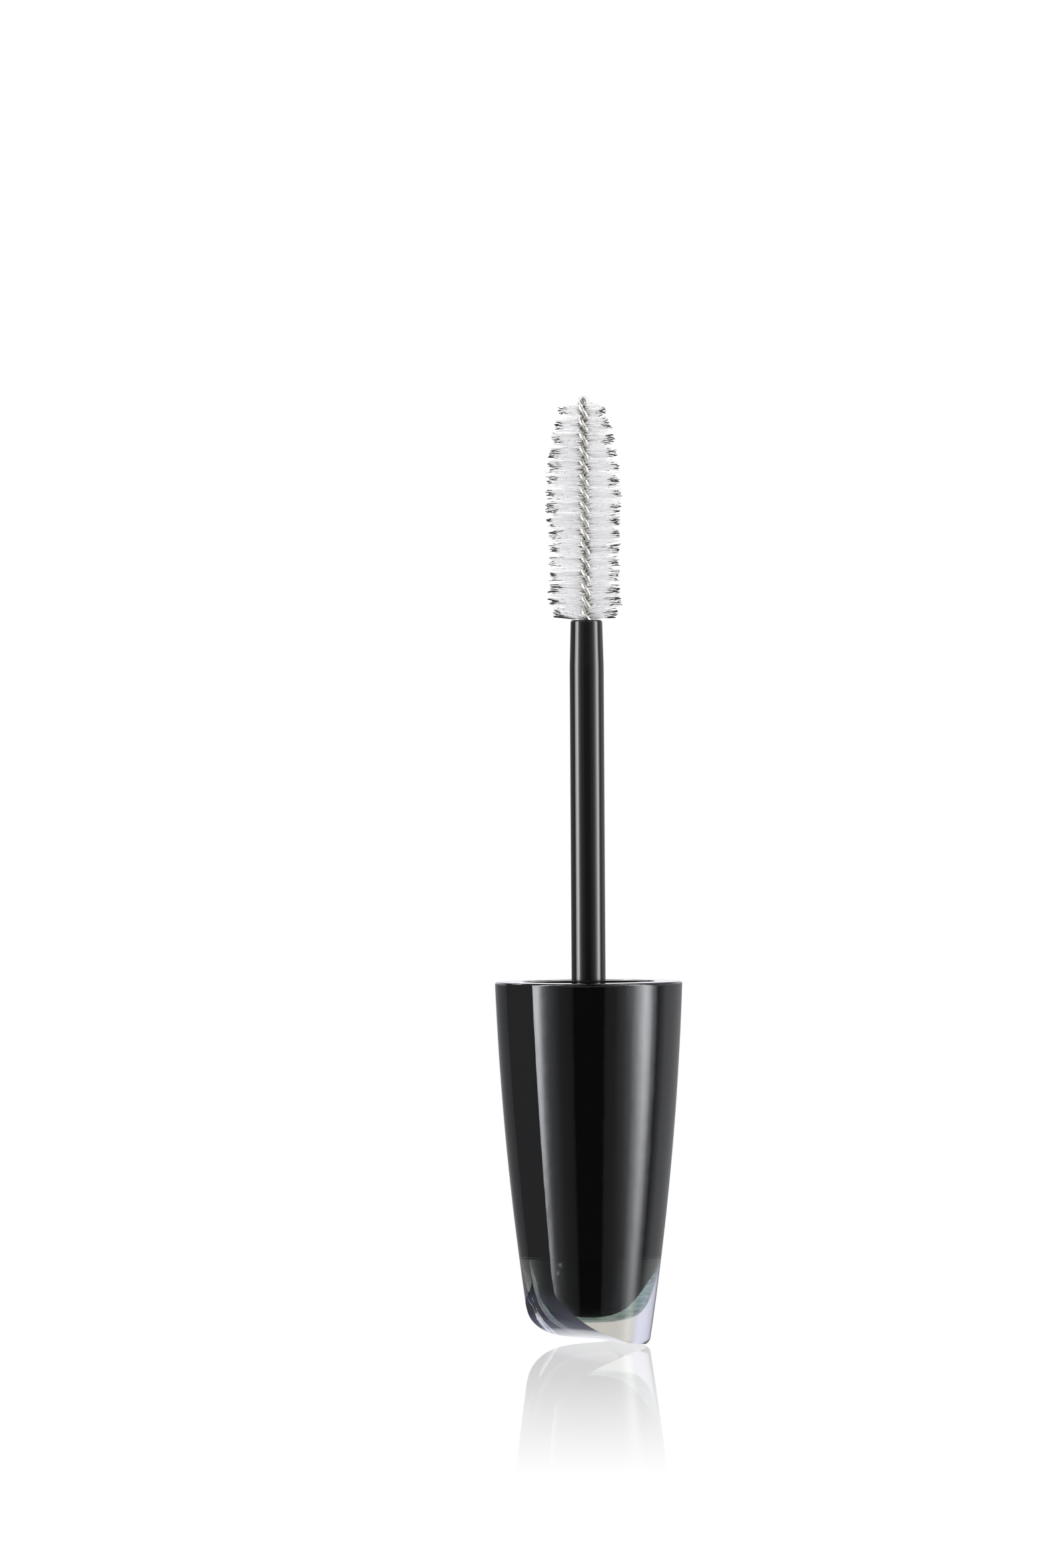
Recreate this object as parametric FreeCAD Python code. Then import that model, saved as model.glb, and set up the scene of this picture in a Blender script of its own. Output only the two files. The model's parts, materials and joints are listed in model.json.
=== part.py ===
import FreeCAD, Part
import math
import os

# Applicator of a mascara: a sculpted cap, a stem and a twisted-wire brush.
# Millimetres. The origin is the centre of the cap's mouth, +Z runs out of the mouth along the stem
# to the brush, and the cap's closed end is at -Z. The front of the cap faces -Y.

V = FreeCAD.Vector

# ---- cap: outer form ----------------------------------------------------------------------------
cap_length = 42.6          # mouth to the lowest point of the closed end
cap_mouth_radius = 11.0
cap_middle_radius = 9.58   # at half the length
cap_end_radius = 6.88      # at the closed end
rim_round = 0.35           # rounded outer lip of the mouth
end_round = 1.0            # rounded corner at the lowest point of the closed end

# ---- clear shell and the black cup inside it ----------------------------------------------------
mouth_wall = 3.2           # clear wall at the mouth
shoulder_wall = 2.65       # clear wall at the shoulder, where the rounded ends of cavity and cup start
shoulder_depth = 32.0
shell_base = 3.2           # clear depth below the cavity
cup_gap = 0.03             # glue line between shell and cup
cup_wall = 0.75
cup_recess = 0.15          # cup's lip below the shell's rim
bed_thickness = 0.6        # adhesive between the cavity's floor and the cup
bed_top_drop = 0.05        # the adhesive's upper edge below the shoulder
bed_fit = 0.01             # between the adhesive and what it bonds
cavity_end = [             # share of the shoulder's radius, share of the drop from shoulder to floor
    (1.00, 0.00),
    (0.93, 0.25),
    (0.86, 0.50),
    (0.78, 0.72),
    (0.64, 0.90),
    (0.42, 0.985),
    (0.00, 1.00),
]
cup_end = [
    (1.00, 0.00),
    (0.88, 0.235),
    (0.655, 0.628),
    (0.43, 0.89),
    (0.20, 0.985),
    (0.00, 1.00),
]

# ---- threaded insert ----------------------------------------------------------------------------
insert_gap = 0.03          # between cup and insert
insert_recess = 0.6        # insert's lip below the shell's rim
insert_depth = 11.0        # mouth to the insert's floor
insert_floor = 2.0
thread_major_radius = 5.8
thread_height = 0.5
thread_pitch = 2.4
thread_turns = 2.5
thread_lead_in = 2.0       # plain length between the mouth and the first thread
thread_root_width = 1.3
thread_crest_width = 0.5
socket_length = 6.5        # boss under the floor that grips the stem
socket_wall = 1.2

# ---- stem ---------------------------------------------------------------------------------------
stem_radius = 2.0
stem_tip_radius = 1.85
stem_taper_length = 5.5
stem_tip_round = 0.25
stem_length_out = 42.3     # mouth to the stem's tip
stem_fit = 0.02            # radial gap in the socket
collar_radius = 3.4        # collar that seats on the insert's floor
collar_thickness = 1.2
barb_height = 0.25         # ring that snaps under the socket
barb_length = 0.8

# ---- twisted wire -------------------------------------------------------------------------------
wire_radius = 0.305
wire_gap = 0.03            # space between the two legs, where the fibres pass
wire_pitch = 3.2           # one full turn of the twist
wire_in_stem = 8.0
wire_bore_fit = 0.02
brush_length = 25.2        # from the stem's tip to the end of the last row of fibres
loop_height = 1.0          # bend of the wire above the twist

# ---- fibres -------------------------------------------------------------------------------------
row_thickness = 0.62       # axial thickness of one spiral of fibres
row_core_gap = 0.02        # between the wire's envelope and the fibres' inner edge
brush_start = 0.05         # between the stem's tip and the first row
brush_outline = [          # share of the brush's length from the stem, envelope radius
    (0.00, 3.30),
    (0.10, 3.95),
    (0.35, 3.85),
    (0.62, 4.25),
    (0.82, 3.55),
    (0.94, 2.85),
    (1.00, 2.30),
]

# ---- the sculpted facet -------------------------------------------------------------------------
# The facet is a ruled surface. On the side it is a narrow flat between the crease and a softer edge
# further round, both given as degrees from the front towards the left, at the mouth and at the flat's
# foot. At the closed end it turns under and becomes the whole slanted underside: there each entry is
# one straight line of it, from a point on the crease to a point at the left or underneath, with x and
# y as shares of the cap's radius at that height and z as a share of the cap's length.
crease_angles = (37.0, 34.2)
flat_edge_angles = (61.5, 59.6)
flat_foot = 0.76           # share of the cap's length
flat_lines = 10
facet_turn_lines = [
    ((-0.548, -0.836, 0.83), (-0.872, -0.460, 0.842)),
    ((-0.515, -0.857, 0.858), (-0.950, -0.120, 0.880)),
    ((-0.367, -0.930, 0.889), (-0.955, 0.120, 0.914)),
    ((-0.220, -0.975, 0.912), (-0.900, 0.300, 0.938)),
    ((-0.040, -0.999, 0.935), (-0.700, 0.500, 0.965)),
    ((0.203, -0.979, 0.957), (-0.300, 0.620, 0.983)),
    ((0.500, -0.866, 0.977), (0.250, 0.620, 0.994)),
    ((0.800, -0.600, 0.990), (0.700, 0.550, 1.002)),
    ((1.150, -0.300, 0.998), (1.150, 0.300, 1.004)),
    ((1.700, -0.300, 0.998), (1.700, 0.300, 1.004)),
]
facet_reach = 1.6          # how far the facet's tool reaches past the cap, in mouth radii

stem_bottom = -insert_depth - insert_floor - socket_length - barb_length
wire_envelope = 2 * wire_radius + wire_gap / 2
spiral_length = brush_length - brush_start - row_thickness


def radius_at(depth):
    """Outer radius of the cap at a depth below its mouth: a parabola through the three radii."""
    share = depth / cap_length
    middle_drop = cap_mouth_radius - cap_middle_radius
    end_drop = cap_mouth_radius - cap_end_radius
    linear = 4 * middle_drop - end_drop
    square = 2 * end_drop - 4 * middle_drop
    return cap_mouth_radius - linear * share - square * share ** 2


def polyline(points, closed=True):
    if closed:
        points = points + [points[0]]
    return Part.makePolygon([V(*p) for p in points])


def turned(edges):
    """Solid of revolution about Z from a closed profile in the XZ half-plane."""
    face = Part.Face(Part.Wire(edges))
    return face.revolve(V(0, 0, 0), V(0, 0, 1), 360)


def level_edges(shape, z):
    """The round edges that lie level at a height."""
    found = []
    for edge in shape.Edges:
        box = edge.BoundBox
        if abs(box.ZMin - z) < 1e-5 and abs(box.ZMax - z) < 1e-5 and box.XLength > 1:
            found.append(edge)
    return found


def line(a, b):
    return Part.LineSegment(V(a[0], 0, a[1]), V(b[0], 0, b[1])).toShape()


def curve(points):
    spline = Part.BSplineCurve()
    spline.interpolate([V(r, 0, z) for r, z in points])
    return spline.toShape()


# ---- profiles shared by the shell, the adhesive, the cup and the insert -------------------------
def cavity_radius_at(depth):
    """Radius of the shell's cavity above its shoulder: the clear wall thins evenly from the mouth."""
    wall = mouth_wall + (shoulder_wall - mouth_wall) * depth / shoulder_depth
    return radius_at(depth) - wall


def side_curve(radius, inset, top, bottom):
    """A tapered side, moved inwards, between two heights."""
    steps = 6
    heights = [top + (bottom - top) * i / steps for i in range(steps + 1)]
    return [(radius(-z) - inset, z) for z in heights]


def round_end_profile(end, inset, top, lowest):
    """Half section of a cavity or cup: tapered side down to the shoulder, then its rounded end."""
    side = side_curve(cavity_radius_at, inset, top, -shoulder_depth)
    shoulder_radius, shoulder_z = side[-1]
    drop = shoulder_z - lowest
    rounded = [(radius * shoulder_radius, shoulder_z - fall * drop) for radius, fall in end]
    closing = [line((0, lowest), (0, top)), line((0, top), (side[0][0], top))]
    return [curve(side), curve(rounded)] + closing


def cavity_profile(inset):
    return round_end_profile(cavity_end, inset, 0, -cap_length + shell_base + inset)


def cup_profile(inset, top):
    return round_end_profile(cup_end, inset, top, -cap_length + shell_base + bed_thickness + inset)


# ---- outer shell --------------------------------------------------------------------------------
def facet_point(share):
    radius = radius_at(share[2] * cap_length)
    return V(share[0] * radius, share[1] * radius, -share[2] * cap_length)


def flat_line(index):
    """One level line of the side flat, from the crease to its left edge. The first is above the mouth."""
    share = flat_foot * index / (flat_lines - 1)
    ends = []
    for at_mouth, at_foot in (crease_angles, flat_edge_angles):
        angle = math.radians(at_mouth + (at_foot - at_mouth) * share / flat_foot)
        ends.append((-math.sin(angle), -math.cos(angle), share))
    return tuple(ends)


def facet_outline(points, travel, start_direction=None):
    """Smooth curve along one edge of the ruled facet."""
    spline = Part.BSplineCurve()
    if start_direction is None:
        spline.interpolate(Points=points, Parameters=travel)
    else:
        end_direction = (points[-1] - points[-2]).normalize()
        spline.interpolate(
            Points=points, Parameters=travel, InitialTangent=start_direction, FinalTangent=end_direction)
    return spline


def facet_tool():
    """Block whose curved left side and underside are the sculpted facet."""
    reach = facet_reach * cap_mouth_radius
    last_side = flat_lines
    facet_lines = [flat_line(index) for index in range(-1, flat_lines)] + facet_turn_lines
    middles = [(facet_point(front) + facet_point(back)) / 2 for front, back in facet_lines]
    travel = [0.0]
    for before, after in zip(middles, middles[1:]):
        travel.append(travel[-1] + (after - before).Length)
    outlines = []
    for y in (-reach, reach):
        points = []
        for front_share, back_share in facet_lines:
            front = facet_point(front_share)
            back = facet_point(back_share)
            share = (y - front.y) / (back.y - front.y)
            points.append(front + (back - front) * share)
        side = facet_outline(points[:last_side + 1], travel[:last_side + 1])
        side_end = side.tangent(side.LastParameter)[0]
        turn = facet_outline(points[last_side:], travel[last_side:], side_end)
        first = points[0]
        last = points[-1]
        right = 2 * reach
        corners = [last, V(right, y, last.z), V(right, y, first.z), first]
        edges = [side.toShape(), turn.toShape()]
        edges += [Part.LineSegment(a, b).toShape() for a, b in zip(corners, corners[1:])]
        outlines.append(Part.Wire(edges))
    return Part.makeLoft(outlines, True, True)


def make_outer_shell():
    side = side_curve(radius_at, 0, 0, -cap_length)
    bottom = side[-1]
    edges = [curve(side), line(bottom, (0, bottom[1])), line((0, bottom[1]), (0, 0)), line((0, 0), side[0])]
    body = turned(edges)
    body = body.makeFillet(end_round, level_edges(body, -cap_length))
    body = body.makeFillet(rim_round, level_edges(body, 0))
    body = body.common(facet_tool())
    return body.cut(turned(cavity_profile(0)))


# ---- adhesive, black cup and threaded insert ----------------------------------------------------
def make_adhesive_bed():
    """Set adhesive that fills the cavity's end round the cup."""
    room = cap_length - shoulder_depth - bed_top_drop
    reach = 2 * cap_mouth_radius
    low_end = Part.makeBox(reach, reach, room, V(-reach / 2, -reach / 2, -cap_length))
    bed = turned(cavity_profile(bed_fit)).common(low_end)
    return bed.cut(turned(cup_profile(cup_gap - bed_fit, 0)))


def make_inner_cup():
    cup = turned(cup_profile(cup_gap, -cup_recess))
    return cup.cut(turned(cup_profile(cup_gap + cup_wall, -cup_recess)))


def make_thread(radius, start):
    """Helical ridge that stands inwards from a bore."""
    turns_height = thread_pitch * thread_turns
    helix = Part.makeHelix(thread_pitch, turns_height, radius)
    helix.translate(V(0, 0, start))
    overlap = 0.1
    profile = polyline([
        (radius + overlap, 0, start - thread_root_width / 2),
        (radius + overlap, 0, start + thread_root_width / 2),
        (radius - thread_height, 0, start + thread_crest_width / 2),
        (radius - thread_height, 0, start - thread_crest_width / 2),
    ])
    return Part.Wire(helix).makePipeShell([profile], True, True)


def make_thread_insert():
    inset = cup_gap + cup_wall + insert_gap
    floor_bottom = -insert_depth - insert_floor
    side = side_curve(cavity_radius_at, inset, -insert_recess, floor_bottom)
    edges = [
        curve(side),
        line(side[-1], (0, floor_bottom)),
        line((0, floor_bottom), (0, -insert_recess)),
        line((0, -insert_recess), side[0]),
    ]
    body = turned(edges)
    socket_radius = stem_radius + stem_fit
    boss = Part.makeCylinder(socket_radius + socket_wall, socket_length, V(0, 0, floor_bottom - socket_length))
    body = body.fuse(boss)
    bore_length = insert_depth - insert_recess
    body = body.cut(Part.makeCylinder(thread_major_radius, bore_length, V(0, 0, -insert_depth)))
    socket_depth = insert_floor + socket_length
    body = body.cut(Part.makeCylinder(socket_radius, socket_depth, V(0, 0, floor_bottom - socket_length)))
    start = -insert_recess - thread_lead_in - thread_pitch * thread_turns
    return body.fuse(make_thread(thread_major_radius, start)).removeSplitter()


# ---- stem ---------------------------------------------------------------------------------------
def make_stem():
    tip = stem_length_out
    outline = [
        (0, stem_bottom),
        (stem_radius, stem_bottom),
        (stem_radius + barb_height, stem_bottom + barb_length),
        (stem_radius, stem_bottom + barb_length),
        (stem_radius, -insert_depth),
        (collar_radius, -insert_depth),
        (collar_radius, -insert_depth + collar_thickness),
        (stem_radius, -insert_depth + collar_thickness),
        (stem_radius, tip - stem_taper_length),
        (stem_tip_radius, tip),
        (0, tip),
    ]
    body = turned(polyline([(r, 0, z) for r, z in outline]).Edges)
    body = body.makeFillet(stem_tip_round, level_edges(body, tip))
    bore = Part.makeCylinder(wire_envelope + wire_bore_fit, wire_in_stem, V(0, 0, tip - wire_in_stem))
    return body.cut(bore)


# ---- twisted wire -------------------------------------------------------------------------------
def wire_angle(z):
    """Direction of the first leg from the axis, in degrees: the twist is left-handed and ends along X."""
    return 360 * (stem_length_out + brush_length - z) / wire_pitch


def left_handed(shape, angle):
    """A right-handed sweep that starts along X, mirrored and turned to start at an angle."""
    mirrored = shape.mirror(V(0, 0, 0), V(0, 1, 0))
    mirrored.rotate(V(0, 0, 0), V(0, 0, 1), angle)
    return mirrored


def make_core_wire():
    """Two legs of one wire, twisted together, and the bend that joins them at the tip."""
    leg_offset = wire_radius + wire_gap / 2
    bottom = stem_length_out - wire_in_stem
    twist = wire_in_stem + brush_length
    lean = math.atan2(2 * math.pi * leg_offset, wire_pitch)
    centre = V(leg_offset, 0, bottom)
    helix = Part.makeHelix(wire_pitch, twist, leg_offset)
    helix.translate(V(0, 0, bottom))
    # the level section of a round wire that leans is longer along the lean
    along = centre + V(0, wire_radius / math.cos(lean), 0)
    across = centre + V(wire_radius, 0, 0)
    section = Part.Wire(Part.Ellipse(along, across, centre).toShape())
    leg = Part.Wire(helix).makePipeShell([section], True, True)
    leg = left_handed(leg, wire_angle(bottom))
    other_leg = leg.copy()
    other_leg.rotate(V(0, 0, 0), V(0, 0, 1), 180)
    bend = make_bend(leg_offset)
    bend.translate(V(0, 0, bottom + twist))
    return Part.makeCompound([leg, other_leg, bend])


def make_bend(leg_offset):
    """Round loop of wire: two short straights and a half circle."""
    straight = loop_height - leg_offset - wire_radius
    a = V(leg_offset, 0, 0)
    b = V(leg_offset, 0, straight)
    c = V(-leg_offset, 0, straight)
    d = V(-leg_offset, 0, 0)
    crown = V(0, 0, straight + leg_offset)
    path = Part.Wire([
        Part.LineSegment(a, b).toShape(),
        Part.Arc(b, crown, c).toShape(),
        Part.LineSegment(c, d).toShape(),
    ])
    section = Part.Wire(Part.makeCircle(wire_radius, a, V(0, 0, 1)))
    return path.makePipeShell([section], True, True)


# ---- fibres -------------------------------------------------------------------------------------
def brush_radius(share):
    """Envelope radius of the brush at a share of its length from the stem."""
    for (s0, r0), (s1, r1) in zip(brush_outline, brush_outline[1:]):
        if share <= s1:
            return r0 + (r1 - r0) * (share - s0) / (s1 - s0)
    return brush_outline[-1][1]


def make_bristle_row(index, count):
    """About half a turn of fibres: a helical blade on each side of the wire, square to its legs."""
    rise = spiral_length / count
    start = stem_length_out + brush_start + row_thickness / 2 + index * rise
    outer = brush_radius((index + 0.5) / count)
    inner = wire_envelope + row_core_gap
    blades = []
    for side in (90, 270):
        helix = Part.makeHelix(wire_pitch, rise, (inner + outer) / 2)
        helix.translate(V(0, 0, start))
        profile = polyline([
            (inner, 0, start - row_thickness / 2),
            (outer, 0, start - row_thickness / 2),
            (outer, 0, start + row_thickness / 2),
            (inner, 0, start + row_thickness / 2),
        ])
        blade = Part.Wire(helix).makePipeShell([profile], True, True)
        blades.append(left_handed(blade, wire_angle(start) + side))
    return Part.makeCompound(blades)


# ---- all parts ----------------------------------------------------------------------------------
row_count = math.ceil(spiral_length / (wire_pitch / 2))

parts = {
    "outer_shell": make_outer_shell(),
    "adhesive_bed": make_adhesive_bed(),
    "inner_cup": make_inner_cup(),
    "thread_insert": make_thread_insert(),
    "stem": make_stem(),
    "core_wire": make_core_wire(),
}
for row in range(row_count):
    parts["bristle_row_%02d" % (row + 1)] = make_bristle_row(row, row_count)

os.makedirs("parts", exist_ok=True)
for node, shape in parts.items():
    shape.exportStep("parts/%s.step" % node)
    print(node, len(shape.Solids), "solids", round(shape.Volume, 2), "mm3", shape.isValid())
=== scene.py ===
import json
import math
import random

import bmesh
import bpy
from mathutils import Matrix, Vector

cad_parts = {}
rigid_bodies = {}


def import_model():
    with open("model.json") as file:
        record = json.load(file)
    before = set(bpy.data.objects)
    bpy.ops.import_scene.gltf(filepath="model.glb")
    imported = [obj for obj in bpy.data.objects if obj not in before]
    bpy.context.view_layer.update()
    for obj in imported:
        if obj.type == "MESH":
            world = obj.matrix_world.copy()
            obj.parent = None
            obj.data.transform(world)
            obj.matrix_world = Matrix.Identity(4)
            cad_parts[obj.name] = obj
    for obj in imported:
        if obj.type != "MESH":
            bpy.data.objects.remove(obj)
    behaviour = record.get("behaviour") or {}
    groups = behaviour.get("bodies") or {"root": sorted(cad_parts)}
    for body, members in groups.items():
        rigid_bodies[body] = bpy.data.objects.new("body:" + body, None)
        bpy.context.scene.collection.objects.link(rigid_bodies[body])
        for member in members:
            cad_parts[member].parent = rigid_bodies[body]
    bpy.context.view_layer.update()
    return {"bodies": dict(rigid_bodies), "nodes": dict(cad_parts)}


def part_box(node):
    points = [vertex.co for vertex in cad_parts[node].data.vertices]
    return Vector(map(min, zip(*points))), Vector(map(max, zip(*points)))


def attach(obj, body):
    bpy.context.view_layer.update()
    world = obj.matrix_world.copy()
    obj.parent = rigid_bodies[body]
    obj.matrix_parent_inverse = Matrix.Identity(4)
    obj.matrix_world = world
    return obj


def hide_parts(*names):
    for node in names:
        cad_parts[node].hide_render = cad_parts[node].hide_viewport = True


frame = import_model()

MM = 0.001
BODY = next(iter(frame["bodies"]))
scene = bpy.context.scene


# ---- places and sizes, from the frame ------------------------------------------------------------
shell_low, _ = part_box("outer_shell")
_, stem_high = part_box("stem")
_, wire_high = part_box("core_wire")
bed_low, bed_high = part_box("adhesive_bed")
ROWS = sorted(n for n in frame["nodes"] if n.startswith("bristle_row_"))
FLOOR_Z = shell_low.z
STEM_TIP = stem_high.z
SHELL_IOR = 1.49
CUP_SKIN = 0.08 * MM         # how far the cup's and the adhesive's surfaces reach into the clear shell
BED_SKIN = 0.03 * MM

# twisted wire
WIRE_RADIUS = 0.305 * MM
LEG_OFFSET = 0.32 * MM
WIRE_PITCH = 3.2 * MM
TWIST_END = wire_high.z - 1.0 * MM
WIRE_STEP = 0.06 * MM        # between the points of the twist's path
WIRE_SUNK = 1.5 * MM         # start of the path below the stem's tip
WIRE_SIDES = 16
LOOP_POINTS = 24
# share by which the loop's colour is darkened, as painted shade
LOOP_PAINTED_SHADE = 0.25
BRUSH_LEAN = math.radians(0.5)

# fibres
FIBRES_A_SIDE = 84
FIBRE_START = 0.2 * MM       # from the axis, between the two legs
FIBRE_SPREAD = 62            # degrees to either side of the line square to the legs
LAST_ROW_SPREAD = 12
BASE_ROWS = 2                # rows at the stem, which sweep up and have longer ink
BASE_LIFT = 9                # degrees that the lowest row sweeps up
LONG_INK_ROWS = 9            # rows from the stem with longer ink on one side
LEFT_REACH = 0.25 * MM       # the left side is a little longer
FACING = 0.2                 # a fibre that points less to the side than this would hide the wire
CLUMP_ZONE = 0.86            # of the fibres that point more to the side than this,
CLUMP_SHARE = 0.38           # this share ends in a clump,
BASE_CLUMP_SHARE = 0.5       # or this share in the lowest row
SIDE_ZONE = 0.75             # of the others that point more to the side than this,
DARK_END_SHARE = 0.22        # this share has a short dark end
LENGTHS = (0.93, 1.05)       # shares of the row's reach
FIBRE_RADII = (0.034, 0.05)  # mm
INKED_RADII = (0.045, 0.06)
FIBRE_SIDES = 5

# camera
CAMERA_LENS = 162.7
CAMERA_SENSOR = 36.0
CAMERA_PLACE = Vector((-7.6, -830, 23.15)) * MM
CAMERA_ROLL = math.radians(-0.35)

# floor
FLOOR_SIZE = 6.0
FLOOR_GLOSS = 0.55
FLOOR_GLOSS_REACH = 0.16


# ---- small helpers -------------------------------------------------------------------------------
def new_object(name, mesh):
    obj = bpy.data.objects.new(name, mesh)
    scene.collection.objects.link(obj)
    return obj


def material(name, **values):
    """Principled material with constants set on the shader's own sockets."""
    mat = bpy.data.materials.new(name)
    mat.use_nodes = True
    shader = mat.node_tree.nodes["Principled BSDF"]
    for socket, value in values.items():
        shader.inputs[socket.replace("_", " ")].default_value = value
    return mat, mat.node_tree, shader


def node(tree, kind, **values):
    """A new node, with each value set on the socket or the setting of that name."""
    made = tree.nodes.new(kind)
    for name, value in values.items():
        if name in made.inputs:
            made.inputs[name].default_value = value
        else:
            setattr(made, name, value)
    return made


def feed(tree, socket, value):
    """Put a constant or another node's output into a socket."""
    if isinstance(value, bpy.types.NodeSocket):
        tree.links.new(value, socket)
    else:
        socket.default_value = value


def calculated(tree, operation, *values):
    """Result of a Math node. Each value is a number or an output."""
    made = node(tree, "ShaderNodeMath", operation=operation)
    for socket, value in zip(made.inputs, values):
        feed(tree, socket, value)
    return made.outputs[0]


def ranged(tree, source, from_low, from_high, to_low=0.0, to_high=1.0):
    """The source, moved linearly from one range to another and held at the ends."""
    made = node(tree, "ShaderNodeMapRange")
    ends = (("From Min", from_low), ("From Max", from_high), ("To Min", to_low), ("To Max", to_high))
    for socket, value in ends:
        made.inputs[socket].default_value = value
    tree.links.new(source, made.inputs["Value"])
    return made.outputs[0]


def colour_mix(tree, factor, first, second, blend_type="MIX"):
    """Mix of two colours. Each of the three is a constant or an output."""
    made = node(tree, "ShaderNodeMix", data_type="RGBA", blend_type=blend_type)
    for place, value in ((0, factor), (6, first), (7, second)):
        feed(tree, made.inputs[place], value)
    return made.outputs[2]


def colour_ramp(tree, source, stops):
    """Colour between stops of position and colour, in rising order."""
    ramp = node(tree, "ShaderNodeValToRGB")
    band = ramp.color_ramp
    while len(band.elements) > 1:
        band.elements.remove(band.elements[-1])
    for index, (position, colour) in enumerate(stops):
        element = band.elements[0] if index == 0 else band.elements.new(position)
        element.position = position
        element.color = colour
    tree.links.new(source, ramp.inputs[0])
    return ramp.outputs[0]


def texture(tree, kind, place, **values):
    """A texture node read at a place."""
    made = node(tree, kind, **values)
    tree.links.new(place, made.inputs["Vector"])
    return made


def object_place(tree, scale=None, rotation=(0, 0, 0)):
    """Position on the object, stretched and turned if a scale is given."""
    place = node(tree, "ShaderNodeTexCoord").outputs["Object"]
    if scale is None:
        return place
    mapping = node(tree, "ShaderNodeMapping", Scale=scale, Rotation=rotation)
    tree.links.new(place, mapping.inputs[0])
    return mapping.outputs[0]


def give(name, mat):
    data = frame["nodes"][name].data
    data.materials.clear()
    data.materials.append(mat)


# ---- camera --------------------------------------------------------------------------------------
def make_camera():
    data = bpy.data.cameras.new("camera")
    data.lens = CAMERA_LENS
    data.sensor_width = CAMERA_SENSOR
    data.clip_start = 0.01
    data.clip_end = 20.0
    camera = bpy.data.objects.new("camera", data)
    camera.location = CAMERA_PLACE
    camera.rotation_euler = (math.radians(90), 0, 0)
    camera.rotation_euler.rotate_axis("Z", CAMERA_ROLL)
    scene.collection.objects.link(camera)
    scene.camera = camera


# ---- studio --------------------------------------------------------------------------------------
# Each list holds degrees round the object, with 0 the front and 90 the right, and what is there.
# Brightness of the room that the object reflects
ROOM_WALLS = [
    (-180, 1.05), (-174, 1.05), (-170, 0.40), (-145, 0.31), (-100, 0.34), (-42, 0.37), (-33, 0.33),
    (-20.5, 0.24), (-19.5, 0.07), (18, 0.07), (19.5, 0.27), (27, 0.32), (60, 0.33), (98, 0.36),
    (112, 0.82), (130, 0.66), (157, 0.46), (170, 0.40), (174, 1.05), (180, 1.05),
]
# Brightness that the two softboxes add to it
SOFTBOXES = [
    (-180, 0), (-91, 0), (-88, 5.0), (-80, 8.0), (-71, 11.5), (-67, 12.0), (-63, 6.5), (-59, 2.8),
    (-54, 1.1), (-42, 0.2), (-36, 0), (32, 0), (45, 0.6), (55, 1.9), (65, 6.2), (75, 11.3),
    (81, 8.0), (87, 2.5), (95, 0.0), (180, 0),
]
# What is seen through the clear end: warm grey behind, lavender to the left, a dark room to the right
BACKDROP = [
    (-180, (0.60, 0.575, 0.52)), (-152, (0.58, 0.56, 0.52)), (-143, (0.78, 0.78, 0.92)),
    (-100, (0.70, 0.70, 0.86)), (-70, (0.25, 0.25, 0.29)), (0, (0.05, 0.05, 0.06)),
    (95, (0.04, 0.04, 0.05)), (118, (0.06, 0.06, 0.08)), (128, (0.22, 0.22, 0.26)),
    (140, (0.52, 0.51, 0.50)), (180, (0.60, 0.575, 0.52)),
]
# Heights in the room, as the sine of the elevation
BOX_FOOT = (-0.36, -0.10)        # the softboxes dim downwards over this stretch,
BOX_FOOT_LIGHT = 0.15            # to this share of their light
DEEP = (-0.34, -0.62)            # the room turns lavender downwards over this stretch
BAND_BOTTOM = (0.09, 0.12)       # a white band, which mostly the floor and the wire reflect
BAND_TOP = (0.45, 0.35)
BAND_LIGHT = 1.05


def around(tree, stops, share):
    """Brightness or colour against direction round the object. Linear between stops."""
    stops = [(angle, value if isinstance(value, tuple) else (value, value, value)) for angle, value in stops]
    peak = max(max(value) for _, value in stops)
    scaled = [((angle + 180) / 360, tuple(part / peak for part in value) + (1,)) for angle, value in stops]
    scale = node(tree, "ShaderNodeVectorMath", operation="SCALE")
    scale.inputs["Scale"].default_value = peak
    tree.links.new(colour_ramp(tree, share, scaled), scale.inputs[0])
    return scale.outputs[0]


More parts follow.
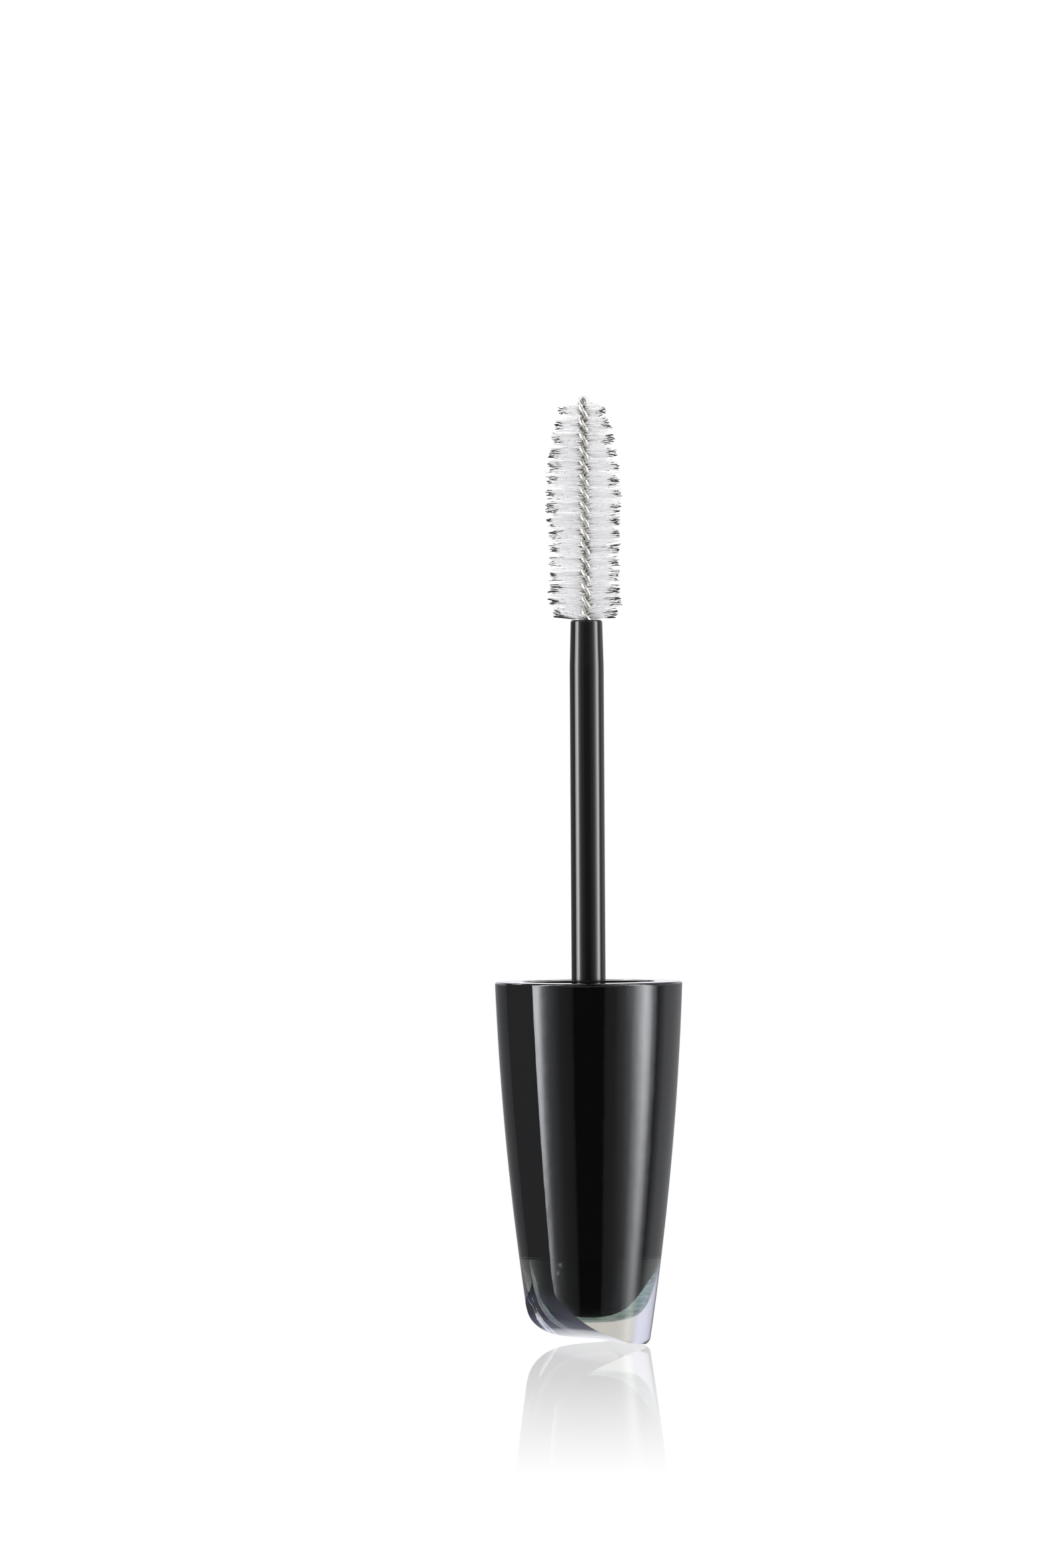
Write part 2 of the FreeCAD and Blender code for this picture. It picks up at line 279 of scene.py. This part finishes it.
def make_world():
    """White room. Reflections see a darker room with a softbox at each side and a dark gap in front."""
    world = bpy.data.worlds.new("studio")
    scene.world = world
    world.use_nodes = True
    tree = world.node_tree
    tree.nodes.clear()
    split = node(tree, "ShaderNodeSeparateXYZ")
    tree.links.new(node(tree, "ShaderNodeTexCoord").outputs["Generated"], split.inputs[0])
    height = split.outputs["Z"]
    frontwards = calculated(tree, "MULTIPLY", split.outputs["Y"], -1.0)
    turn = calculated(tree, "ARCTAN2", split.outputs["X"], frontwards)
    share = ranged(tree, turn, -math.pi, math.pi)

    box_light = ranged(tree, height, *BOX_FOOT, to_low=BOX_FOOT_LIGHT)
    softboxes = around(tree, SOFTBOXES, share)
    dark_room = calculated(tree, "MULTIPLY_ADD", softboxes, box_light, around(tree, ROOM_WALLS, share))
    rising = ranged(tree, height, *BAND_BOTTOM)
    falling = ranged(tree, height, *BAND_TOP, to_high=BAND_LIGHT)
    band = calculated(tree, "MULTIPLY", rising, falling)
    deep = ranged(tree, height, *DEEP)
    room = node(tree, "ShaderNodeBackground")
    feed(tree, room.inputs["Color"], colour_mix(tree, deep, (0.97, 0.985, 1.03, 1), (1.05, 1.10, 1.50, 1)))
    feed(tree, room.inputs["Strength"], calculated(tree, "MAXIMUM", dark_room, band))

    white = node(tree, "ShaderNodeBackground", Color=(1, 1, 1, 1), Strength=1.0)
    through = node(tree, "ShaderNodeBackground")
    feed(tree, through.inputs["Color"], around(tree, BACKDROP, share))
    path = node(tree, "ShaderNodeLightPath")
    mirrored = calculated(tree, "MULTIPLY", path.outputs["Is Glossy Ray"], path.outputs["Is Reflection Ray"])
    seen = white
    for share_of, light in ((path.outputs["Is Transmission Ray"], through), (mirrored, room)):
        mix = node(tree, "ShaderNodeMixShader")
        tree.links.new(share_of, mix.inputs[0])
        tree.links.new(seen.outputs[0], mix.inputs[1])
        tree.links.new(light.outputs[0], mix.inputs[2])
        seen = mix
    out = node(tree, "ShaderNodeOutputWorld")
    tree.links.new(seen.outputs[0], out.inputs[0])


def make_floor():
    """White glowing floor that mirrors the object, less and less with distance from the origin."""
    bpy.ops.mesh.primitive_plane_add(size=FLOOR_SIZE, location=(0, 0, FLOOR_Z))
    floor = bpy.context.object
    floor.name = "floor"
    mat = bpy.data.materials.new("floor")
    mat.use_nodes = True
    tree = mat.node_tree
    tree.nodes.clear()
    glow = node(tree, "ShaderNodeEmission", Strength=1.0)
    path = node(tree, "ShaderNodeLightPath")
    seen_through = path.outputs["Is Transmission Ray"]
    feed(tree, glow.inputs["Color"], colour_mix(tree, seen_through, (1, 1, 1, 1), (0.62, 0.60, 0.55, 1)))
    gloss = node(tree, "ShaderNodeBsdfGlossy", Roughness=0.02, Color=(1, 1, 1, 1))
    distance = node(tree, "ShaderNodeVectorMath", operation="LENGTH")
    tree.links.new(node(tree, "ShaderNodeNewGeometry").outputs["Position"], distance.inputs[0])
    fade = ranged(tree, distance.outputs["Value"], 0.0, FLOOR_GLOSS_REACH, FLOOR_GLOSS, 0.0)
    mix = node(tree, "ShaderNodeMixShader")
    tree.links.new(fade, mix.inputs[0])
    tree.links.new(glow.outputs[0], mix.inputs[1])
    tree.links.new(gloss.outputs[0], mix.inputs[2])
    out = node(tree, "ShaderNodeOutputMaterial")
    tree.links.new(mix.outputs[0], out.inputs[0])
    floor.data.materials.append(mat)
    floor.visible_glossy = False


# ---- cap materials -------------------------------------------------------------------------------
def shell_material():
    """Clear moulded plastic. The bonded wall of its cavity throws back no light."""
    mat, tree, shader = material(
        "clear_shell",
        Base_Color=(0.97, 0.985, 0.98, 1), Roughness=0.0, IOR=SHELL_IOR, Transmission_Weight=1.0)
    split = node(tree, "ShaderNodeSeparateXYZ")
    tree.links.new(object_place(tree), split.inputs[0])
    level = node(tree, "ShaderNodeCombineXYZ")
    tree.links.new(split.outputs["X"], level.inputs["X"])
    tree.links.new(split.outputs["Y"], level.inputs["Y"])
    from_axis = node(tree, "ShaderNodeVectorMath", operation="LENGTH")
    tree.links.new(level.outputs[0], from_axis.inputs[0])
    outside = calculated(tree, "GREATER_THAN", from_axis.outputs["Value"], bed_high.x + 0.15 * MM)
    below = calculated(tree, "LESS_THAN", split.outputs["Z"], bed_low.z - 0.05 * MM)
    feed(tree, shader.inputs["Specular Tint"], calculated(tree, "MAXIMUM", outside, below))
    return mat


def bed_material():
    """Blue-green adhesive with fine slanted streaks."""
    mat, tree, shader = material(
        "teal_adhesive",
        Roughness=0.0, IOR=SHELL_IOR, Transmission_Weight=1.0, Specular_Tint=(0, 0, 0, 1))
    place = object_place(tree, scale=(500, 500, 3600), rotation=(0, math.radians(-38), 0))
    streaks = texture(tree, "ShaderNodeTexNoise", place, Scale=1.0, Detail=3.0, Roughness=0.6)
    colour = colour_ramp(tree, streaks.outputs["Fac"], [
        (0.36, (0.16, 0.26, 0.27, 1)), (0.50, (0.34, 0.45, 0.42, 1)), (0.66, (0.52, 0.66, 0.60, 1))])
    feed(tree, shader.inputs["Base Color"], colour)
    return mat


def speckled_plastic(name, colour, roughness, specular):
    """Moulded plastic with faint dust and a slightly uneven gloss."""
    mat, tree, shader = material(name, Specular_IOR_Level=specular, Specular_Tint=(1.0, 0.97, 0.91, 1))
    place = object_place(tree)
    cloud = texture(tree, "ShaderNodeTexNoise", place, Scale=900.0, Detail=4.0, Roughness=0.7)
    gloss = ranged(tree, cloud.outputs["Fac"], 0.3, 0.7, roughness * 0.8, roughness * 1.25)
    feed(tree, shader.inputs["Roughness"], gloss)
    dust = texture(tree, "ShaderNodeTexVoronoi", place, Scale=1400.0)
    specks = ranged(tree, dust.outputs["Distance"], 0.10, 0.02)
    dusty = tuple(min(1, part * 2.5 + 0.004) for part in colour)
    feed(tree, shader.inputs["Base Color"], colour_mix(tree, specks, colour + (1,), dusty + (1,)))
    return mat


def skin_over(name, node_name, out, mat):
    """The node's surface, moved outwards into the clear shell, as bonded surfaces have no air between."""
    mesh = frame["nodes"][node_name].data.copy()
    skin = new_object(name, mesh)
    moved = [vertex.co + vertex.normal * out for vertex in mesh.vertices]
    for vertex, place in zip(mesh.vertices, moved):
        vertex.co = place
    mesh.materials.clear()
    mesh.materials.append(mat)
    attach(skin, BODY)
    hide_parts(node_name)


# ---- brush: shared by the wire and the fibres ----------------------------------------------------
def lean(point):
    """The brush is bent very slightly to the left of the stem's line."""
    above = max(0.0, point.z - STEM_TIP)
    return Vector((point.x - math.tan(BRUSH_LEAN) * above, point.y, point.z))


def leg_direction(z):
    """Direction of the first leg from the axis. The twist is left-handed and ends along X."""
    return 2 * math.pi * (TWIST_END - z) / WIRE_PITCH


def tube(bm, path, radii, sides, tones, layer):
    """A closed round tube along a path, with a tone at each point."""
    rings = []
    across = None
    for index, point in enumerate(path):
        ahead = path[min(index + 1, len(path) - 1)] - path[max(index - 1, 0)]
        ahead.normalize()
        if across is None:
            across = ahead.orthogonal()
        across = (across - ahead * across.dot(ahead)).normalized()
        up = ahead.cross(across)
        tone = tones[index]
        ring = []
        for side in range(sides):
            turn = 2 * math.pi * side / sides
            vertex = bm.verts.new(point + (across * math.cos(turn) + up * math.sin(turn)) * radii[index])
            vertex[layer] = (tone, tone, tone, 1)
            ring.append(vertex)
        rings.append(ring)
    for low, high in zip(rings, rings[1:]):
        for side in range(sides):
            after = (side + 1) % sides
            bm.faces.new((low[side], low[after], high[after], high[side]))
    bm.faces.new(list(reversed(rings[0])))
    bm.faces.new(rings[-1])


def start_mesh():
    """An empty mesh with a layer for the tone."""
    bm = bmesh.new()
    return bm, bm.verts.layers.float_color.new("tone")


def finish_mesh(name, bm, mat, node_name):
    """The mesh as a smooth piece that rides on the body and replaces a node."""
    mesh = bpy.data.meshes.new(name)
    bm.normal_update()
    bm.to_mesh(mesh)
    bm.free()
    for face in mesh.polygons:
        face.use_smooth = True
    mesh.materials.append(mat)
    piece = new_object(name, mesh)
    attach(piece, BODY)
    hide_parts(node_name)


def tone_colour(tree):
    """The tone stored on the mesh: ink at the fibres' ends, and painted shade at their roots and at the
    wire's loop.
    """
    return node(tree, "ShaderNodeAttribute", attribute_name="tone").outputs["Color"]


# ---- twisted wire --------------------------------------------------------------------------------
def loop_painted_shade(point):
    """Painted shade: the loop's colour is a little darker than the twist's, for the darker edges it shows.
    """
    above = (point.z - TWIST_END) / (0.5 * MM)
    return 1.0 - LOOP_PAINTED_SHADE * min(1.0, max(0.0, above))


def make_wire(mat):
    """One wire bent double: up one leg of the twist, round the loop and down the other."""
    bottom = STEM_TIP - WIRE_SUNK
    count = int((TWIST_END - bottom) / WIRE_STEP)
    up = []
    down = []
    for index in range(count + 1):
        z = bottom + (TWIST_END - bottom) * index / count
        turn = leg_direction(z)
        offset = Vector((math.cos(turn), math.sin(turn), 0)) * LEG_OFFSET
        up.append(Vector((0, 0, z)) + offset)
        down.append(Vector((0, 0, z)) - offset)
    crown_z = wire_high.z - WIRE_RADIUS - LEG_OFFSET
    loop = []
    for index in range(1, LOOP_POINTS):
        turn = math.pi * index / LOOP_POINTS
        loop.append(Vector((math.cos(turn) * LEG_OFFSET, 0, crown_z + math.sin(turn) * LEG_OFFSET)))
    path = [lean(point) for point in up + loop + list(reversed(down))]
    bm, layer = start_mesh()
    tube(bm, path, [WIRE_RADIUS] * len(path), WIRE_SIDES, [loop_painted_shade(point) for point in path], layer)
    finish_mesh("twisted_wire", bm, mat, "core_wire")


def wire_material():
    """Bright drawn steel with a fine uneven grain, darkened by the tone on the mesh, which is painted shade
    at the loop.
    """
    mat, tree, shader = material(
        "steel_wire", Metallic=0.88, Anisotropic=0.3, Specular_Tint=(0.35, 0.32, 0.28, 1))
    grain = texture(tree, "ShaderNodeTexNoise", object_place(tree), Scale=5200.0, Detail=2.0).outputs["Fac"]
    steel = colour_mix(tree, grain, (0.80, 0.77, 0.70, 1), (0.94, 0.92, 0.88, 1))
    # the tone darkens the loop: painted shade
    feed(tree, shader.inputs["Base Color"], colour_mix(tree, 1.0, steel, tone_colour(tree), "MULTIPLY"))
    feed(tree, shader.inputs["Roughness"], ranged(tree, grain, 0.0, 1.0, 0.21, 0.32))
    return mat


# ---- fibres --------------------------------------------------------------------------------------
def fibre_material():
    """Pale nylon whose tone, from inked black to clear, is stored on the fibres; its dark roots are painted
    shade. The fibres glow faintly in their own colour, a painted light.
    """
    # Emission_Strength is painted light: a faint glow that lifts the shade between the fibres
    mat, tree, shader = material("fibre", Roughness=0.45, Specular_IOR_Level=0.2, Emission_Strength=0.12)
    place = object_place(tree, scale=(300, 300, 9000))
    streaks = texture(tree, "ShaderNodeTexNoise", place, Scale=1.0, Detail=2.0)
    pale = ranged(tree, streaks.outputs["Fac"], 0.30, 0.70, 0.84, 1.0)
    # this ramp gives the ink at the ends and the painted shade at the roots
    inked = colour_ramp(tree, tone_colour(tree), [
        (0.0, (0.004, 0.004, 0.004, 1)), (0.35, (0.16, 0.145, 0.12, 1)), (1.0, (0.93, 0.93, 0.94, 1))])
    colour = colour_mix(tree, 1.0, inked, pale, "MULTIPLY")
    tree.links.new(colour, shader.inputs["Base Color"])
    # painted light: the fibres glow faintly in their own colour
    tree.links.new(colour, shader.inputs["Emission Color"])
    return mat


def row_clumps(draw, index, side, reach):
    """Height above the row's middle, reach and inked length of each clump on one side of a row."""
    clumps = []
    count = draw.randint(3, 5)
    for place in range(count):
        height = ((place + 0.5) / count - 0.5) * 0.9 + draw.gauss(0, 0.06)
        ink = draw.uniform(0.5, 1.35) * MM
        if side == 1 and index < LONG_INK_ROWS:
            ink *= 1.3
        if index < BASE_ROWS:
            ink *= 1.5
        clumps.append((height * MM, draw.uniform(*LENGTHS) * reach, ink))
    return clumps


def add_fibre(bm, layer, draw, root, tip, ink, end_tone, inked):
    """One fibre: painted shade where it leaves the wire, clear along its length, with a toned end."""
    span = (tip - root).length
    droop = Vector((0, 0, draw.gauss(0, 0.035))) * MM
    # the fibre's root beside the wire is darkened as painted shade
    painted_shade_length = draw.uniform(0.6, 1.0) * MM
    root_painted_shade = draw.choice((0.3, 0.6, 0.9, 1.0))
    stations = [
        (0.0, root_painted_shade), (0.55 * painted_shade_length, root_painted_shade), (painted_shade_length, 0.95), (0.5 * span, 1.0),
        (span - ink - 0.18 * MM, 0.97), (span - ink + 0.04 * MM, end_tone + 0.10), (span, end_tone)]
    path = []
    for distance, _ in stations:
        share = distance / span
        path.append(lean(root + (tip - root) * share + droop * math.sin(math.pi * share) * 4))
    thick = draw.uniform(*FIBRE_RADII) * MM
    tip_thick = draw.uniform(*INKED_RADII) * MM if inked else thick
    radii = [thick] * (len(path) - 2) + [tip_thick, tip_thick * 0.9]
    tube(bm, path, radii, FIBRE_SIDES, [tone for _, tone in stations], layer)


def make_row(index, mat):
    """Half a turn of fibres, on both sides of the wire. Their inked ends gather in clumps at the sides."""
    draw = random.Random(index + 1)
    row = ROWS[index]
    low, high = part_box(row)
    reach = (high.x - low.x) / 2
    rows_left = len(ROWS) - 1 - index
    middle = TWIST_END - WIRE_PITCH / 4 - rows_left * WIRE_PITCH / 2
    lift = BASE_LIFT * max(0.0, 1.0 - index / BASE_ROWS)
    spread = FIBRE_SPREAD if rows_left else LAST_ROW_SPREAD
    clump_share = CLUMP_SHARE if index else BASE_CLUMP_SHARE
    bm, layer = start_mesh()
    for side in (0, 1):
        clumps = row_clumps(draw, index, side, reach)
        for count in range(FIBRES_A_SIDE):
            along = (count + 0.5) / FIBRES_A_SIDE - 0.5
            z = middle + along * WIRE_PITCH / 2 + draw.gauss(0, 0.05) * MM
            z = max(z, STEM_TIP + 0.12 * MM)
            turn = leg_direction(z) + math.pi / 2 + math.pi * side
            turn += math.radians(draw.uniform(-spread, spread))
            out = Vector((math.cos(turn), math.sin(turn), 0))
            sideways = abs(out.x)
            if sideways < FACING or draw.random() > 0.35 + sideways:
                continue
            rise = math.tan(math.radians(draw.gauss(0, 2.2) + lift))
            if rows_left == 0:
                rise += math.tan(math.radians(draw.uniform(0, 7)))
            length = reach * draw.uniform(*LENGTHS) + (LEFT_REACH if out.x < 0 else 0)
            inked = False
            ink = draw.uniform(0.04, 0.09) * MM
            end_tone = draw.uniform(0.35, 0.7) if draw.random() < 0.15 else draw.uniform(0.85, 1.0)
            tip = Vector((0, 0, z)) + out * length + Vector((0, 0, rise * length))
            if sideways > CLUMP_ZONE and draw.random() < clump_share:
                height, clump_reach, clump_ink = draw.choice(clumps)
                tip = Vector((math.copysign(clump_reach, out.x), out.y * reach * 0.7, middle + height))
                tip.x -= LEFT_REACH if out.x < 0 else 0
                tip += Vector((draw.gauss(0, 0.10), draw.gauss(0, 0.2), draw.gauss(0, 0.035))) * MM
                tip.z = max(tip.z + rise * length * 0.6, STEM_TIP + 0.1 * MM)
                ink = clump_ink * draw.uniform(0.6, 1.1)
                end_tone = draw.uniform(0.0, 0.04)
                inked = True
            elif sideways > SIDE_ZONE and draw.random() < DARK_END_SHARE:
                ink = draw.uniform(0.15, 0.5) * MM
                end_tone = draw.uniform(0.05, 0.35)
            root = Vector((0, 0, z)) + out * FIBRE_START
            add_fibre(bm, layer, draw, root, tip, ink, end_tone, inked)
    finish_mesh("fibres_%02d" % (index + 1), bm, mat, row)


# ---- the scene -----------------------------------------------------------------------------------
scene.view_settings.view_transform = "Standard"
scene.view_settings.look = "None"
make_camera()
make_world()
make_floor()

give("outer_shell", shell_material())
give("thread_insert", speckled_plastic("black_closure", (0.010, 0.010, 0.011), 0.35, 0.5))
give("stem", speckled_plastic("black_stem", (0.006, 0.006, 0.007), 0.09, 0.5))
cup_black = speckled_plastic("black_gloss", (0.0015, 0.0015, 0.002), 0.3, 0.0)
skin_over("cup_skin", "inner_cup", CUP_SKIN, cup_black)
skin_over("bed_skin", "adhesive_bed", BED_SKIN, bed_material())
make_wire(wire_material())
fibres = fibre_material()
for index in range(len(ROWS)):
    make_row(index, fibres)
